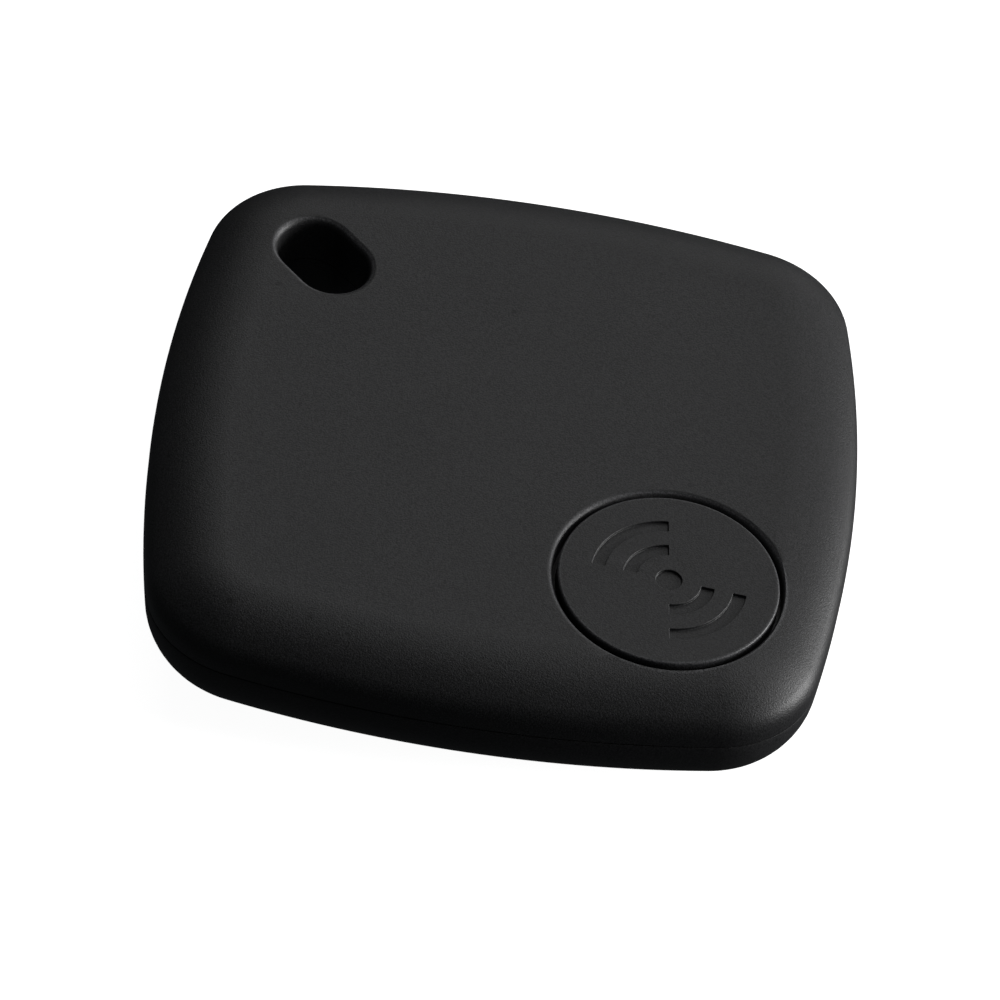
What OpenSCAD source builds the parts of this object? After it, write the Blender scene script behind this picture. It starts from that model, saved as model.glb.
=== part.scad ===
// Square key-finder tag: two closing shells round a coin cell, a circuit board, a sounder and a push button.
// Millimetres. It rests on z = 0 and +Z points out of the button face.
// The key-ring slot is in the -X +Y corner and the button is in the +X -Y corner.

/* [Body] */
// Width between the middles of opposite sides
body_w = 38; // [36:0.5:46]
// Height from the resting face to the button face
body_h = 7.5; // [7.4:0.1:9.5]
// Half the angle that each side's long arc turns through, in plan: more makes rounder sides
side_a = 10.6; // [8:0.1:12]
// Radius of each corner, in plan
corner_r = 6; // [5:0.5:7.5]
// Wall thickness of both shells
wall = 1; // [0.85:0.05:1.2]
// Height of the seam between the shells
seam_z = 4.5; // [4.3:0.1:5]
// Open gap left at the seam
seam_gap = 0.05; // [0.03:0.01:0.1]

/* [Edge rounding] */
// Radius of the top edge's tighter arc, next to the side
top_side_r = 1.4; // [1.3:0.05:1.6]
// Radius of the top edge's wider arc, next to the face
top_face_r = 6; // [5:0.1:6.4]
// Radius of the bottom edge
bottom_r = 4.1; // [3.5:0.1:4.2]

/* [Key-ring slot] */
// Width of the slot
slot_w = 4; // [3:0.1:4.5]
// Length of the slot, along the body's diagonal
slot_l = 5.7; // [5:0.1:6.2]
// Distance of the slot's centre in from the left side
slot_edge_x = 7.6; // [7.2:0.1:8]
// Distance of the slot's centre in from the back side
slot_edge_y = 8.2; // [7.8:0.1:8.4]
// Wall round the slot
slot_wall = 0.9; // [0.7:0.05:1]
// Width of the bevel on the slot's rims
slot_bevel = 0.4; // [0.2:0.05:0.6]

/* [Button] */
// Diameter of the button's opening
opening_d = 12.2; // [10.5:0.1:12.4]
// Gap all round between the cap and its opening
button_gap = 0.2; // [0.1:0.05:0.3]
// Distance of the button's centre in from both sides
button_edge = 9.7; // [9.3:0.1:10.2]
// How far the button is pressed in
button_travel = 0.25; // [0.15:0.05:0.3]
// Width of the bevel on the opening's rim
opening_bevel = 0.45; // [0.2:0.05:0.6]
// How far the cap's flange reaches under the shell
flange_reach = 0.7; // [0.5:0.05:0.8]
// Thickness of the cap's flange
flange_t = 0.45; // [0.35:0.05:0.5]
// Thickness of the ring that keeps the cap in
retainer_t = 0.3; // [0.25:0.05:0.35]
// Depth of the engraved symbol
symbol_depth = 0.15; // [0.1:0.05:0.3]
// Width of the symbol's grooves
symbol_groove = 0.7; // [0.4:0.05:0.9]
// Middle radius of the symbol's inner pair of arcs
symbol_inner_r = 2.1; // [1.8:0.1:2.3]
// Middle radius of the symbol's outer pair of arcs
symbol_outer_r = 3.8; // [3.4:0.1:4.2]
// Half the angle of each of the symbol's arcs
symbol_a = 40; // [25:1:50]

/* [Closing fit] */
// Thickness of the front shell's lip
lip_t = 0.7; // [0.5:0.05:0.8]
// How far the lip reaches below the seam
lip_h = 1; // [0.6:0.1:1.5]
// Gap between the lip and the rear cover's wall
lip_gap = 0.08; // [0.05:0.01:0.15]
// Diameter of the closing pegs
peg_d = 1.4; // [1.2:0.1:1.6]
// Gap all round a peg in its socket
peg_gap = 0.05; // [0.03:0.01:0.08]
// Wall round a peg's socket
socket_wall = 0.75; // [0.6:0.05:0.8]
// Distance of a peg in from its side
peg_edge = 4.2; // [4:0.1:4.6]
// Distance of a peg along its side from the middle
peg_along = 3; // [2:0.5:4]
// How far the pegs reach below the seam
peg_reach = 2.3; // [1.5:0.1:2.4]

/* [Board] */
// Thickness of the circuit board
board_t = 0.5; // [0.4:0.1:0.6]
// Room under the board, above the rear cover's floor
board_rise = 0.25; // [0.2:0.05:0.3]
// Distance of the board's edge in from the body's outline
board_inset = 3.1; // [3:0.1:3.5]
// Gap between the board and what passes through it
board_gap = 0.25; // [0.15:0.05:0.4]
// Diameter of the posts that are melted over to hold the board
stake_d = 1.2; // [1:0.1:1.4]

/* [Coin cell] */
// Diameter of the cell
cell_d = 20; // [16:0.1:20]
// Thickness of the cell
cell_h = 3.2; // [2.5:0.1:3.2]
// Thickness of the cell's sheet steel
cell_sheet = 0.25; // [0.2:0.05:0.3]
// Distance of the cell's centre from the body's, in X and in Y, towards the slot
cell_shift = 0.6; // [0.4:0.1:0.8]
// Height that the negative contact lifts the cell off the board
contact_h = 0.15; // [0.15:0.05:0.2]
// Thickness of the battery clip's sheet
clip_t = 0.2; // [0.15:0.05:0.2]
// Width of the battery clip
clip_w = 5; // [4:0.5:5.5]

/* [Sounder] */
// Diameter of the sounder's brass plate
sounder_d = 18; // [12:0.5:20]
// Diameter of the sounder's ceramic
ceramic_d = 12; // [8:0.5:12]
// Depth of the sounder's recess in the floor
recess_h = 0.4; // [0.35:0.05:0.45]

/* [Switch] */
// Side of the switch's square housing
switch_w = 4.5; // [4:0.1:4.7]
// Height of the switch, from the board to the top of its plunger
switch_h = 3.45; // [3.3:0.05:3.5]
// Height of the housing
housing_h = 2.2; // [2:0.1:2.4]
// Diameter of the plunger
plunger_d = 2.2; // [1.8:0.1:2.4]

/* [Hidden] */
$fn = 96;

// Overlap of pieces that are joined into one solid, and overrun of cuts
lap = 0.2;
// Clearance between two faces that close on each other
touch_gap = 0.03;
// Pitch of the points along the outline's arcs, for the straight-walled pieces
side_steps = 12;
corner_steps = 8;
// How far the swept rim reaches behind a corner's centre
core_lap = 3;

half_w = body_w / 2;
// Radius of a side's arc that runs smoothly into the corner arcs
side_r = (half_w - corner_r * (cos(side_a) - sin(side_a))) / (1 - cos(side_a) + sin(side_a));
// Each side's arc is centred this far behind the middle of the body
side_c = side_r - half_w;
// Each corner's arc is centred here in X and in Y
corner_c = (side_r - corner_r) * sin(side_a);
// Direction in which the top edge's two arcs meet, seen from their centres
top_join = [0.6, 0.8];
// How far the top edge's rounding reaches in from the side, and down from the face
top_round_w = top_side_r + (top_face_r - top_side_r) * top_join.x;
top_round_h = top_side_r + (top_face_r - top_side_r) * (1 - top_join.y);
ceiling_z = body_h - wall;
shell_colour = [0.14, 0.14, 0.145];

slot_x = slot_edge_x - half_w;
slot_y = half_w - slot_edge_y;
// Straight part of the slot, between its round ends
slot_run = slot_l - slot_w;

button_c = half_w - button_edge;
opening_r = opening_d / 2;
cap_r = opening_r - button_gap;
cap_skirt = 1;
flange_r = cap_r + flange_reach;
flange_z = ceiling_z - seam_gap - flange_t;
collar_r = flange_r + board_gap;
collar_wall = 0.75;
retainer_z = flange_z - button_travel - 0.1 - retainer_t;
retainer_lip = 1.3;
// Rib in the collar that stops the cap from turning
key_w = 1.2;
key_gap = 0.1;
key_in = cap_r + 0.35;
nub_r = 1.2;

board_z = wall + board_rise;
board_top = board_z + board_t;
board_half = half_w - board_inset;
stake_c = board_half - 3;
stake_head = 0.35;

cell_r = cell_d / 2;
cell_z = board_top + contact_h;
cell_top = cell_z + cell_h;
// Radii of the cell's negative cap and of the mouth of its can, and the height of the can's lip
cell_cap_r = cell_r - 1.3;
cell_mouth_r = cell_r - 0.8;
cell_lip = 0.3;
cell_cap_h = cell_h / 2;
lithium_t = 0.6;
separator_t = 0.1;
stack_gap = 0.05;
clip_reach = cell_r + 0.15;
clip_foot = 1.2;
clip_window = 1.2;
contact_t = 0.08;

peg_r = peg_d / 2;
socket_r = peg_r + peg_gap;
boss_r = socket_r + socket_wall;
boss_foot = 0.4;
boss_top = seam_z - 0.6;
peg_end = seam_z - peg_reach;

switch_top = board_top + switch_h;
housing_top = board_top + housing_h;
switch_cover_t = 0.2;
plunger_r = plunger_d / 2;
plunger_flange_r = 1.7;
plunger_flange_t = 0.6;
chamber_r = 1.9;
dome_r = 1.75;
dome_rise = 0.4;
dome_t = 0.1;
dome_z = board_top + 0.45;
// Radius of the sphere that the dome is cut from
dome_sphere_r = (dome_r * dome_r + dome_rise * dome_rise) / (2 * dome_rise);
terminal_t = 0.12;

sounder_z = wall - recess_h;
tape_t = 0.1;
tape_w = 1;
plate_t = 0.15;
ceramic_t = 0.15;
electrode_t = 0.03;
plate_z = sounder_z + tape_t;
ceramic_z = plate_z + plate_t;
electrode_z = ceramic_z + ceramic_t;

// The sounder's two wires run along -X under the board and come up through holes near its edge
wire_r = 0.1;
wire_z = board_z - 0.02 - wire_r;
wire_bend = 0.3;
wire_hole_r = 0.26;
wire_pad_r = 0.6;
wire_end_x = 3.2 - board_half;
red_wire_y = 2.2;
black_wire_y = 0.6;
red_wire_start = -4;
black_wire_start = -7.5;
wire_top = board_top + 0.3;
solder_r = 0.4;

// Small parts on the board: centres as distances in from the board's edges, near the +X +Y corner
radio_chip_size = [3.5, 3.5, 0.75];
radio_chip_in = [5.55, 5.55];
main_crystal_size = [2, 1.6, 0.5];
main_crystal_in = [2, 6.9];
clock_crystal_size = [3.2, 1.5, 0.7];
clock_crystal_in = [6.7, 1.9];
// Each capacitor: distances in from the +X and +Y edges, and its turn
capacitor_in = [[2.7, 4.9, 90], [3.4, 8.6, 0], [5, 8.6, 0], [8.2, 4.4, 90], [9.1, 2.9, 0], [10.4, 2.9, 90]];
capacitor_size = [1, 0.5, 0.5];
// Sound driver and its resistors: distances in from the -X and -Y edges
boost_coil_size = [3, 3, 1.2];
boost_coil_in = [4.6, 6.7];
driver_size = [2.9, 1.3, 1];
driver_in = [7.3, 2.7];
resistor_in = [[10, 2.2, 90], [10, 4, 90], [11.1, 4, 90], [3.1, 4.9, 0], [6.9, 4.9, 0]];
resistor_size = [1, 0.5, 0.35];
// Metal ends of the small chips
end_cap = 0.22;

// Folded track of the antenna, along the +Y edge
antenna_t = 0.05;
antenna_w = 0.4;
antenna_legs = 7;
antenna_pitch = 1.1;
antenna_x = -6.3;
antenna_in = 0.9;
antenna_h = 3.4;

// Row of test pads along the -Y edge
pad_r = 0.5;
pad_t = 0.04;
pad_count = 4;
pad_pitch = 1.5;
pad_x = 0.6;
pad_in = 2.2;

// ---- Outline and sections ----

function arc(cx, cy, r, from, to, steps) =
    [for (i = [0 : steps - 1]) let (t = from + (to - from) * i / steps) [cx + r * cos(t), cy + r * sin(t)]];

function turned(points, angle) =
    [for (p = points) [p.x * cos(angle) - p.y * sin(angle), p.x * sin(angle) + p.y * cos(angle)]];

// The body's outline in plan, moved in by inset
function outline(inset) = [for (i = [0 : 3]) each turned(concat(
    arc(corner_c, corner_c, corner_r - inset, side_a, 90 - side_a, corner_steps),
    arc(0, -side_c, side_r - inset, 90 - side_a, 90 + side_a, side_steps)), 90 * i)];

// Ring that follows the outline, between two insets
module outline_ring(inset_out, inset_in, z, height) {
    translate([0, 0, z]) linear_extrude(height) difference() {
        polygon(outline(inset_out));
        polygon(outline(inset_in));
    }
}

// Part of a disc between two unit directions, less than half a turn apart
module sector(r, from, to) {
    reach = 2 * r;
    intersection() {
        circle(r);
        polygon([[0, 0], reach * from, reach * (from + to), reach * to]);
    }
}

// Section of the top edge: x is measured out from the outline, y is height
module top_section(inset, depth, low) {
    shoulder = body_h - top_round_h;
    translate([-depth, low]) square([depth - inset, shoulder - low]);
    translate([-depth, low]) square([depth - top_round_w, body_h - inset - low]);
    intersection() {
        union() {
            translate([-top_side_r, shoulder]) sector(top_side_r - inset, [1, 0], top_join);
            translate([-top_round_w, body_h - top_face_r]) sector(top_face_r - inset, top_join, [0, 1]);
        }
        translate([-depth, low]) square([depth, body_h - low]);
    }
}

// Section of the bottom edge, up to the height high
module bottom_section(inset, depth, high) {
    translate([-depth, bottom_r]) square([depth - inset, high - bottom_r]);
    translate([-depth, inset]) square([depth - bottom_r, bottom_r - inset + lap]);
    translate([-bottom_r, bottom_r]) sector(bottom_r - inset, [0, -1], [1, 0]);
}

// Moves by v in a coarse and a fine step: neither is a long number, so arcs that should meet do so exactly
module move(v) {
    coarse = [for (x = v) round(x * 1000) / 1000];
    translate(coarse) translate(v - coarse) children();
}

// Sweeps a section round the outline and fills the middle from low to high
module sweep(low, high) {
    inner = corner_c + core_lap / 2;
    c = corner_c;
    for (i = [0 : 3]) rotate(90 * i) {
        move([0, -side_c, 0]) rotate_extrude(angle = 2 * side_a, start = 90 - side_a)
            move([side_r, 0]) children();
        move([c, c, 0]) rotate_extrude(angle = 90 - 2 * side_a, start = side_a) intersection() {
            translate([corner_r, 0]) children();
            translate([0, -body_h]) square([corner_r, 3 * body_h]);
        }
    }
    translate([0, 0, low]) linear_extrude(high - low)
        polygon([[c, c], [0, inner], [-c, c], [-inner, 0], [-c, -c], [0, -inner], [c, -c], [inner, 0]]);
}

// Top half of the body's form, moved in by inset, from the height low up
module top_form(inset, low) {
    sweep(low, body_h - inset) top_section(inset, corner_r + core_lap, low);
}

// Bottom half of the body's form, moved in by inset, up to the height high
module bottom_form(inset, high) {
    sweep(inset, high) bottom_section(inset, corner_r + core_lap, high);
}

// ---- Repeated shapes ----

module slot_plan(grow) {
    r = slot_w / 2 + grow;
    translate([slot_x, slot_y]) rotate(-45) {
        translate([-slot_run / 2, 0]) circle(r);
        translate([slot_run / 2, 0]) circle(r);
        square([slot_run, 2 * r], center = true);
    }
}

// Upright prism of the key-ring slot's shape, widened all round by grow
module slot_prism(grow, z, height) {
    translate([0, 0, z]) linear_extrude(height) slot_plan(grow);
}

// Bevel of the slot's rim, on the side that the face at z opens to: up is 1 or -1
module slot_rim_cut(z, up) {
    r = slot_w / 2;
    b = slot_bevel;
    translate([slot_x, slot_y, z]) rotate(-45) mirror([0, 0, up < 0 ? 1 : 0]) {
        for (x = [-slot_run / 2, slot_run / 2]) translate([x, 0, -b])
            cylinder(r1 = r, r2 = r + 2 * b, h = 2 * b);
        rotate([90, 0, 90]) linear_extrude(slot_run, center = true)
            polygon([[-r, -b], [r, -b], [r + 2 * b, b], [-r - 2 * b, b]]);
    }
}

module at_button() {
    translate([button_c, -button_c, 0]) children();
}

module at_cell() {
    translate([-cell_shift, cell_shift, 0]) children();
}

module at_pegs() {
    for (i = [0 : 3]) rotate(90 * i)
        translate([half_w - peg_edge, i % 2 == 0 ? peg_along : -peg_along, 0]) children();
}

module at_stakes() {
    for (s = [1, -1]) translate([s * stake_c, s * stake_c, 0]) children();
}

// Block of a size that stands on z = 0, centred in X and Y
module block(size) {
    translate([-size.x / 2, -size.y / 2, 0]) cube(size);
}

// Places its children on the board, by their distances in from the edges nearest to the +X +Y corner, or to
// the -X -Y corner when side is -1
module on_board(in, side = 1) {
    translate([side * (board_half - in.x), side * (board_half - in.y), board_top]) children();
}

// Small two-ended chip: a body between two metal ends that are a little thicker
module two_ended(size) {
    block([size.x - 2 * end_cap, size.y - 0.04, size.z - 0.02]);
    for (s = [1, -1]) translate([s * (size.x - end_cap) / 2, 0, 0]) block([end_cap, size.y, size.z]);
}

// Ring between two radii that stands on z = 0
module ring(r_out, r_in, height) {
    difference() {
        cylinder(r = r_out, h = height);
        translate([0, 0, -lap]) cylinder(r = r_in, h = height + 2 * lap);
    }
}

// ---- Shells ----

module rear_cover() {
    color(shell_colour) difference() {
        union() {
            difference() {
                bottom_form(0, seam_z - seam_gap);
                bottom_form(wall, seam_z + lap);
            }
            slot_prism(slot_wall, wall - lap, seam_z - seam_gap - wall + lap);
            at_pegs() translate([0, 0, wall - lap]) {
                cylinder(r = boss_r, h = boss_top - wall + lap);
                cylinder(r = boss_r + boss_foot, h = board_rise + lap);
            }
            at_stakes() {
                translate([0, 0, wall - lap]) {
                    cylinder(d = stake_d, h = board_t + board_rise + lap + stake_head / 2);
                    cylinder(d = stake_d + 2 * boss_foot, h = board_rise + lap);
                }
                translate([0, 0, board_top])
                    cylinder(d1 = stake_d + 2 * stake_head, d2 = stake_d, h = stake_head);
            }
        }
        slot_prism(0, -lap, body_h);
        slot_rim_cut(0, -1);
        at_pegs() translate([0, 0, board_top]) cylinder(r = socket_r, h = body_h);
        at_cell() translate([0, 0, sounder_z])
            cylinder(d = sounder_d + 2 * board_gap, h = board_z - sounder_z);
    }
}

module front_shell() {
    color(shell_colour) {
        difference() {
            union() {
                difference() {
                    top_form(0, seam_z);
                    top_form(wall, seam_z - lap);
                }
                outline_ring(wall - lap, wall + lip_gap + lip_t, seam_z, lip_t);
                outline_ring(wall + lip_gap, wall + lip_gap + lip_t, seam_z - lip_h, lip_h + lap);
                slot_prism(slot_wall, seam_z, ceiling_z - seam_z + lap);
                at_pegs() translate([0, 0, peg_end]) cylinder(r = peg_r, h = ceiling_z - peg_end + lap);
                at_button() translate([0, 0, retainer_z])
                    cylinder(r = collar_r + collar_wall, h = ceiling_z - retainer_z + lap);
            }
            slot_prism(0, seam_z - lap, body_h);
            slot_rim_cut(body_h, 1);
            at_button() {
                translate([0, 0, seam_z - lip_h]) cylinder(r = collar_r, h = ceiling_z - seam_z + lip_h);
                cylinder(r = opening_r, h = body_h + lap);
                translate([0, 0, body_h - opening_bevel])
                    cylinder(r1 = opening_r, r2 = opening_r + 2 * opening_bevel, h = 2 * opening_bevel);
            }
        }
        at_button() rotate(135) translate([0, -key_w / 2, retainer_z + retainer_t])
            intersection() {
                translate([key_in, 0, 0])
                    cube([collar_r - cap_r, key_w, ceiling_z - retainer_z - retainer_t + lap]);
                translate([0, key_w / 2, 0]) cylinder(r = collar_r + collar_wall / 2, h = body_h);
            }
    }
}

// ---- Button ----

// Sound symbol: a dot between two pairs of arcs, as a solid to cut from the cap
module symbol_cut() {
    height = symbol_depth + lap;
    translate([0, 0, body_h - symbol_depth]) rotate(-45) {
        cylinder(r = symbol_groove, h = height);
        for (turn = [0, 180], r = [symbol_inner_r, symbol_outer_r]) rotate(turn)
            rotate_extrude(angle = 2 * symbol_a, start = -symbol_a)
                translate([r - symbol_groove / 2, 0]) square([symbol_groove, height]);
    }
}

module button_cap() {
    color(shell_colour) at_button() difference() {
        union() {
            difference() {
                union() {
                    translate([0, 0, flange_z]) cylinder(r = cap_r, h = body_h - flange_z);
                    translate([0, 0, flange_z]) cylinder(r = flange_r, h = flange_t);
                }
                translate([0, 0, flange_z - lap])
                    cylinder(r = cap_r - cap_skirt, h = ceiling_z - flange_z + lap);
            }
            translate([0, 0, switch_top + touch_gap]) cylinder(r = nub_r, h = ceiling_z - switch_top);
        }
        symbol_cut();
        rotate(135) translate([key_in - key_gap, -key_w / 2 - key_gap, flange_z - lap])
            cube([flange_reach + lap, key_w + 2 * key_gap, flange_t + 2 * lap]);
    }
}

module button_retainer() {
    color([0.2, 0.2, 0.2]) at_button() translate([0, 0, retainer_z])
        ring(collar_r, flange_r - retainer_lip, retainer_t);
}

// ---- Board ----

module circuit_board() {
    notch = boss_r + board_gap;
    color([0.05, 0.25, 0.13]) translate([0, 0, board_z]) linear_extrude(board_t) difference() {
        polygon(outline(board_inset));
        slot_plan(slot_wall + board_gap);
        at_pegs() {
            circle(notch);
            translate([0, -notch]) square([2 * peg_edge, 2 * notch]);
        }
        at_stakes() circle(d = stake_d);
        translate([wire_end_x, red_wire_y]) circle(wire_hole_r);
        translate([wire_end_x, black_wire_y]) circle(wire_hole_r);
    }
}

module antenna_trace() {
    top = board_half - antenna_in;
    low = top - antenna_h;
    end_x = antenna_x + (antenna_legs - 1) * antenna_pitch;
    feed = board_half - radio_chip_in.x - radio_chip_size.x - end_x;
    color([0.72, 0.45, 0.2]) translate([0, 0, board_top]) linear_extrude(antenna_t) {
        for (i = [0 : antenna_legs - 1]) translate([antenna_x + i * antenna_pitch, low])
            square([antenna_w, antenna_h]);
        for (i = [0 : antenna_legs - 2])
            translate([antenna_x + i * antenna_pitch, i % 2 == 0 ? top - antenna_w : low])
                square([antenna_pitch + antenna_w, antenna_w]);
        translate([end_x, low]) square([feed, antenna_w]);
    }
}

module board_pads() {
    color([0.83, 0.68, 0.33]) {
        for (i = [0 : pad_count - 1]) translate([pad_x + i * pad_pitch, pad_in - board_half, board_top])
            cylinder(r = pad_r, h = pad_t);
        for (y = [red_wire_y, black_wire_y]) translate([wire_end_x, y, board_top])
            ring(wire_pad_r, wire_hole_r, pad_t);
    }
}

module radio_chip() {
    color([0.07, 0.07, 0.075]) on_board(radio_chip_in) difference() {
        block(radio_chip_size);
        translate([0.6 - radio_chip_size.x / 2, radio_chip_size.y / 2 - 0.6, radio_chip_size.z - 0.05])
            cylinder(r = 0.2, h = 1);
    }
}

module main_crystal() {
    color([0.75, 0.75, 0.77]) on_board(main_crystal_in) {
        block([main_crystal_size.x, main_crystal_size.y, main_crystal_size.z - 0.1]);
        block([main_crystal_size.x - 0.3, main_crystal_size.y - 0.3, main_crystal_size.z]);
    }
}

module clock_crystal() {
    color([0.8, 0.78, 0.72]) on_board(clock_crystal_in) {
        block([clock_crystal_size.x, clock_crystal_size.y, clock_crystal_size.z - 0.1]);
        block([clock_crystal_size.x - 0.3, clock_crystal_size.y - 0.3, clock_crystal_size.z]);
    }
}

module capacitors() {
    color([0.62, 0.48, 0.33]) for (c = capacitor_in) on_board(c) rotate(c.z) two_ended(capacitor_size);
}

module resistors() {
    color([0.1, 0.1, 0.12]) for (r = resistor_in) on_board(r, -1) rotate(r.z) two_ended(resistor_size);
}

module boost_coil() {
    color([0.25, 0.25, 0.27]) on_board(boost_coil_in, -1) difference() {
        block(boost_coil_size);
        translate([0, 0, boost_coil_size.z - 0.1]) ring(1.2, 1, 1);
    }
}

module driver_transistor() {
    color([0.08, 0.08, 0.085]) on_board(driver_in, -1) {
        translate([0, 0, 0.1]) block([driver_size.x, driver_size.y, driver_size.z - 0.1]);
        for (p = [[-0.95, -0.85], [0.95, -0.85], [0, 0.85]]) translate([p.x, p.y, 0]) block([0.4, 0.6, 0.15]);
    }
}

// ---- Power ----

module negative_contact() {
    tip = contact_h - contact_t;
    lower = [[2.4, 0], [3.2, 0], [6, tip], [6.6, tip]];
    upper = [[6.6, contact_h], [5.9, contact_h], [3.1, contact_t], [2.4, contact_t]];
    color([0.85, 0.83, 0.75]) at_cell() translate([0, 0, board_top]) {
        ring(3, 1.2, contact_t);
        for (i = [0 : 2]) rotate(120 * i) rotate([90, 0, 0]) linear_extrude(1.6, center = true)
            polygon(concat(lower, upper));
    }
}

module battery_clip() {
    bridge = 2 * (clip_reach + clip_t);
    color([0.8, 0.8, 0.82]) at_cell() rotate(45) difference() {
        union() {
            translate([0, 0, cell_top]) block([bridge, clip_w, clip_t]);
            for (s = [1, -1]) {
                translate([s * (clip_reach + clip_t / 2), 0, board_top])
                    block([clip_t, clip_w, cell_top - board_top + clip_t]);
                translate([s * (clip_reach + clip_foot / 2), 0, board_top])
                    block([clip_foot, clip_w, clip_t]);
            }
        }
        translate([0, 0, cell_top - lap]) cylinder(r = clip_window, h = 1);
        for (s = [1, -1]) translate([s * cell_r / 2, 0, cell_top - lap]) {
            translate([0, clip_w / 4, 0]) block([cell_r / 2, 0.4, 1]);
            translate([0, -clip_w / 4, 0]) block([cell_r / 2, 0.4, 1]);
        }
    }
}

module at_cell_floor() {
    at_cell() translate([0, 0, cell_z]) children();
}

module cell_can() {
    color([0.78, 0.78, 0.8]) at_cell_floor() difference() {
        translate([0, 0, cell_lip]) cylinder(r = cell_r, h = cell_h - cell_lip);
        translate([0, 0, cell_lip + cell_sheet])
            cylinder(r = cell_r - cell_sheet, h = cell_h - cell_lip - 2 * cell_sheet);
        cylinder(r = cell_mouth_r, h = cell_h / 2);
    }
}

module cell_seal() {
    color([0.3, 0.3, 0.32]) at_cell_floor() difference() {
        union() {
            translate([0, 0, cell_lip]) cylinder(r = cell_mouth_r, h = cell_sheet);
            translate([0, 0, cell_lip + cell_sheet]) cylinder(r = cell_r - cell_sheet, h = cell_cap_h);
        }
        cylinder(r = cell_cap_r, h = cell_h);
    }
}

module cell_cap() {
    color([0.72, 0.72, 0.74]) at_cell_floor() difference() {
        cylinder(r = cell_cap_r, h = cell_cap_h);
        translate([0, 0, cell_sheet]) cylinder(r = cell_cap_r - cell_sheet, h = cell_h);
    }
}

module cell_lithium() {
    color([0.6, 0.6, 0.62]) at_cell_floor() translate([0, 0, cell_sheet])
        cylinder(r = cell_cap_r - cell_sheet - stack_gap, h = lithium_t);
}

module cell_separator() {
    color([0.92, 0.92, 0.9]) at_cell_floor() translate([0, 0, cell_sheet + lithium_t])
        cylinder(r = cell_cap_r - cell_sheet - stack_gap, h = separator_t);
}

module cell_cathode() {
    base = cell_sheet + lithium_t + separator_t;
    color([0.12, 0.12, 0.12]) at_cell_floor() translate([0, 0, base])
        cylinder(r = cell_cap_r - cell_sheet - stack_gap, h = cell_h - cell_sheet - base);
}

// ---- Sounder ----

module sounder_tape() {
    color([0.9, 0.88, 0.8]) at_cell() translate([0, 0, sounder_z])
        ring(sounder_d / 2, sounder_d / 2 - tape_w, tape_t);
}

module sounder_plate() {
    color([0.8, 0.62, 0.25]) at_cell() translate([0, 0, plate_z]) cylinder(d = sounder_d, h = plate_t);
}

module sounder_ceramic() {
    color([0.85, 0.83, 0.75]) at_cell() translate([0, 0, ceramic_z]) cylinder(d = ceramic_d, h = ceramic_t);
}

module sounder_electrode() {
    color([0.82, 0.82, 0.84]) at_cell() translate([0, 0, electrode_z])
        cylinder(d = ceramic_d - 1, h = electrode_t);
}

// Wire from start along -X, then up through the board at the x of its hole
module sounder_wire(start, y) {
    bend_x = wire_end_x + wire_bend;
    translate([bend_x, y, wire_z]) rotate([0, 90, 0]) cylinder(r = wire_r, h = start - bend_x);
    translate([bend_x, y, wire_z + wire_bend]) rotate([90, 0, 0])
        rotate_extrude(angle = 90, start = 180) translate([wire_bend, 0]) circle(wire_r);
    translate([wire_end_x, y, wire_z + wire_bend]) cylinder(r = wire_r, h = wire_top - wire_z - wire_bend);
}

module red_wire() {
    color([0.7, 0.08, 0.07]) sounder_wire(red_wire_start, red_wire_y);
}

module black_wire() {
    color([0.05, 0.05, 0.05]) sounder_wire(black_wire_start, black_wire_y);
}

// Solder on the two ends of each wire: at the sounder under the board, and at the pads on top of it
module wire_joints() {
    color([0.8, 0.8, 0.82]) {
        for (y = [red_wire_y, black_wire_y]) translate([wire_end_x, y, board_top + pad_t]) difference() {
            cylinder(r1 = 0.48, r2 = 0.16, h = 0.2);
            translate([0, 0, -lap]) cylinder(r = wire_r, h = 1);
        }
        sounder_joint(red_wire_start, red_wire_y, electrode_z + electrode_t);
        sounder_joint(black_wire_start, black_wire_y, ceramic_z);
    }
}

// Drop of solder that holds the end of a wire on the sounder's surface at z
module sounder_joint(x, y, z) {
    difference() {
        translate([x + solder_r / 2, y, z])
            cylinder(r1 = solder_r, r2 = solder_r - 0.1, h = wire_z + wire_r / 2 - z);
        translate([x - solder_r, y, wire_z]) rotate([0, 90, 0]) cylinder(r = wire_r, h = solder_r);
    }
}

// ---- Switch ----

module switch_housing() {
    color([0.1, 0.1, 0.1]) at_button() translate([0, 0, board_top]) difference() {
        block([switch_w, switch_w, housing_h]);
        translate([0, 0, dome_z - board_top]) cylinder(r = chamber_r, h = housing_h);
    }
}

module switch_cover() {
    tab_h = 1.2;
    color([0.78, 0.78, 0.8]) at_button() difference() {
        union() {
            translate([0, 0, housing_top]) block([switch_w, switch_w + 2 * terminal_t, switch_cover_t]);
            for (s = [1, -1]) translate([0, s * (switch_w + terminal_t) / 2, housing_top - tab_h])
                block([switch_w / 2, terminal_t, tab_h + switch_cover_t]);
        }
        translate([0, 0, housing_top - lap]) cylinder(r = plunger_r + peg_gap, h = 1);
    }
}

module switch_plunger() {
    nib_z = dome_z + dome_rise + dome_t + touch_gap;
    flange_base = housing_top - touch_gap - plunger_flange_t;
    color([0.9, 0.88, 0.82]) at_button() {
        translate([0, 0, flange_base]) cylinder(r = plunger_r, h = switch_top - flange_base);
        translate([0, 0, flange_base]) cylinder(r = plunger_flange_r, h = plunger_flange_t);
        translate([0, 0, nib_z]) cylinder(r = plunger_r / 2, h = flange_base - nib_z + lap);
    }
}

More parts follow.
